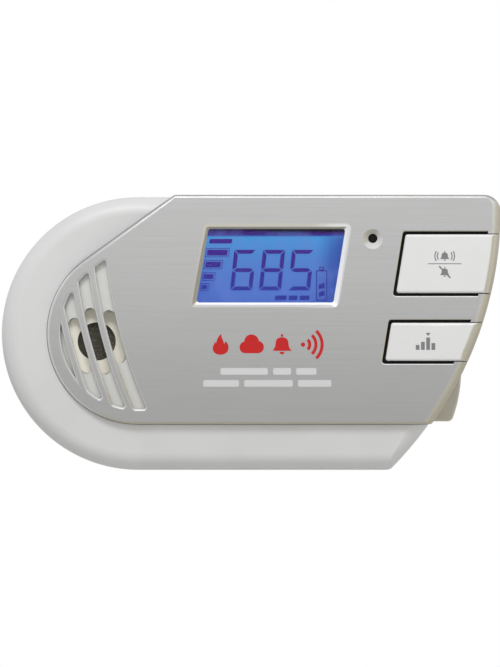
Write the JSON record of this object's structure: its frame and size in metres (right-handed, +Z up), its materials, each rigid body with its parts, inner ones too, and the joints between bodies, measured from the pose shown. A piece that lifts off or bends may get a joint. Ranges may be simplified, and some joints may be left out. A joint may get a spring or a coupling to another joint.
{
  "type": "carbon monoxide detector",
  "caption": "Wall-plugged gas and carbon monoxide detector with a crowned fascia, slotted horn grille, lit display, side keys, a sliding battery drawer and a swivel plug.",
  "frame": {"origin": "centre of the body's outline on the back face, in the wall plane", "axes": "+Z up, +X right seen from the front, -Y out of the wall towards the reader"},
  "size_m": [0.1626, 0.058, 0.0896],
  "materials": {
    "white_shell": "fine satin",
    "silver_fascia": "brushed silver",
    "key_grey": "satin",
    "black_silicone": "matt",
    "switch_black": "matt",
    "switch_plunger": "matt",
    "clear_lens": "polished",
    "lcd_glass": "polished",
    "lcd_backlight": "lit",
    "frame_black": "matt",
    "tinned": "bright",
    "clear_pipe": "polished",
    "led_white": "gloss",
    "horn_cream": "matt",
    "gauze_dark": "matt",
    "brass_disc": "satin",
    "foam": "matt",
    "drawer_white": "fine satin",
    "battery_skin": "satin",
    "battery_core": "matt",
    "board_green": "satin",
    "chip_black": "matt",
    "passive_tan": "matt",
    "capacitor_sleeve": "satin",
    "core_steel": "varnished",
    "coil_tape": "satin",
    "varistor_blue": "satin",
    "film_yellow": "satin",
    "sensor_steel": "brushed",
    "sensor_base": "matt",
    "plug_grey": "satin",
    "blade_brass": "nickel",
    "contact_copper": "satin",
    "lead_red": "satin",
    "lead_black": "satin",
    "lead_white": "satin",
    "label_silver": "satin",
    "screw_steel": "zinc"
  },
  "bodies": {
    "housing": {"rear_cover": "white_shell", "front_housing": "white_shell", "front_fascia": "silver_fascia", "grille_floor": "silver_fascia", "keypad_mat": "black_silicone", "test_switch_base": "switch_black", "peak_switch_base": "switch_black", "display_lens": "clear_lens", "display_glass": "lcd_glass", "display_backlight": "lcd_backlight", "display_frame": "frame_black", "display_pins": "tinned", "led_light_pipe": "clear_pipe", "power_led": "led_white", "horn_case": "horn_cream", "horn_ring": "foam", "horn_gauze": "gauze_dark", "horn_disc": "brass_disc", "battery_contact_block": "sensor_base", "battery_springs": "contact_copper", "battery_lead_red": "lead_red", "battery_lead_black": "lead_black", "main_board": "board_green", "board_chips": "chip_black", "board_passives": "passive_tan", "capacitors": "capacitor_sleeve", "transformer_core": "core_steel", "transformer_coil": "coil_tape", "varistor": "varistor_blue", "film_capacitor": "film_yellow", "co_cell": "sensor_steel", "gas_sensor_base": "sensor_base", "gas_sensor_cap": "sensor_steel", "gas_sensor_gauze": "gauze_dark", "plug_retainer": "sensor_base", "plug_contacts": "contact_copper", "mains_lead_live": "lead_black", "mains_lead_neutral": "lead_white", "rear_label": "label_silver", "vent_screens": "gauze_dark", "case_screws": "screw_steel", "board_screws": "screw_steel", "retainer_screws": "screw_steel"},
    "test_key": {"test_key": "key_grey", "test_switch_plunger": "switch_plunger"},
    "peak_key": {"peak_key": "key_grey", "peak_switch_plunger": "switch_plunger"},
    "battery_drawer": {"battery_drawer": "drawer_white", "battery_case": "battery_skin", "battery_cells": "battery_core", "battery_terminals": "tinned"},
    "plug": {"plug_disc": "plug_grey", "plug_blades": "blade_brass"}
  },
  "joints": [
    {"name": "test_press", "type": "slide", "parent": "housing", "child": "test_key", "axis": [0, 1, 0], "range_m": [0, 0.001], "stiffness_N_per_m": 1000, "springref_m": -0.0005},
    {"name": "peak_press", "type": "slide", "parent": "housing", "child": "peak_key", "axis": [0, 1, 0], "range_m": [0, 0.001], "stiffness_N_per_m": 1000, "springref_m": -0.0005},
    {"name": "battery_drawer_slide", "type": "slide", "parent": "housing", "child": "battery_drawer", "axis": [1, 0, 0], "range_m": [0, 0.05]},
    {"name": "plug_swivel", "type": "hinge", "parent": "housing", "child": "plug", "pos_m": [-0.018, 0, 0.0123], "axis": [0, 1, 0], "range_deg": [0, 90]}
  ]
}
